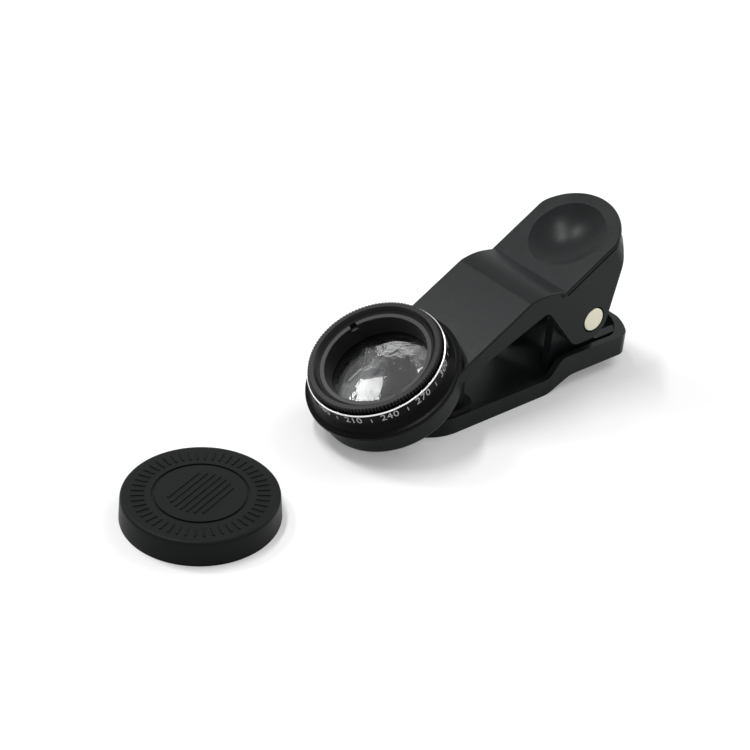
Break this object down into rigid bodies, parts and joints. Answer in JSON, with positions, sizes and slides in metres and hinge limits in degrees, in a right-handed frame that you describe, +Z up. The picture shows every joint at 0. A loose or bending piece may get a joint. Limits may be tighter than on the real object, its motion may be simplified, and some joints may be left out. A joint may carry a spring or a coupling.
{
  "type": "clip-on phone polarizing lens",
  "caption": "Sprung clip that holds a turning polarizing lens over a phone's camera, with a thumb tab behind its hinge and a push-on cap lying beside it.",
  "frame": {"origin": "on the lower arm's flat bottom and the clip's mid-plane, 24 mm ahead of the hinge pin's axis", "axes": "+Z up off the surface it stands on, +X from the lens towards the thumb tab, Y along the hinge pin"},
  "size_m": [0.113, 0.0327, 0.0324],
  "materials": {
    "arm_plastic": "satin black moulded plastic",
    "pad_rubber": "soft matt black",
    "pin_metal": "bright turned head",
    "spring_steel": "drawn wire",
    "barrel_aluminium": "gloss black anodised with a bright cut edge",
    "ring_aluminium": "satin black anodised",
    "lens_glass": "polished",
    "filter_film": "grey tinted film",
    "cap_plastic": "fine matt black"
  },
  "bodies": {
    "lower": {"lower_arm": "arm_plastic", "jaw_pad": "pad_rubber", "torsion_spring": "spring_steel", "lens_cap": "cap_plastic"},
    "upper": {"upper_arm": "arm_plastic", "hinge_pin": "pin_metal", "ring_pad": "pad_rubber", "lens_barrel": "barrel_aluminium", "snap_wire": "spring_steel"},
    "filter": {"polarizer_ring": "ring_aluminium", "retaining_ring": "ring_aluminium", "front_glass": "lens_glass", "polarizing_film": "filter_film", "retarder_film": "filter_film", "rear_glass": "lens_glass"}
  },
  "joints": [
    {"name": "jaw", "type": "hinge", "parent": "lower", "child": "upper", "pos_m": [0.024, 0, 0.0135], "axis": [0, 1, 0], "range_deg": [0, 30], "stiffness_Nm_per_rad": 0.1, "springref_deg": -74.48, "deforming": ["torsion_spring"]},
    {"name": "polarizer", "type": "hinge", "parent": "upper", "child": "filter", "pos_m": [-0.02169, 0, 0.01601], "axis": [-0.4415, 0, 0.8973], "continuous": true}
  ]
}
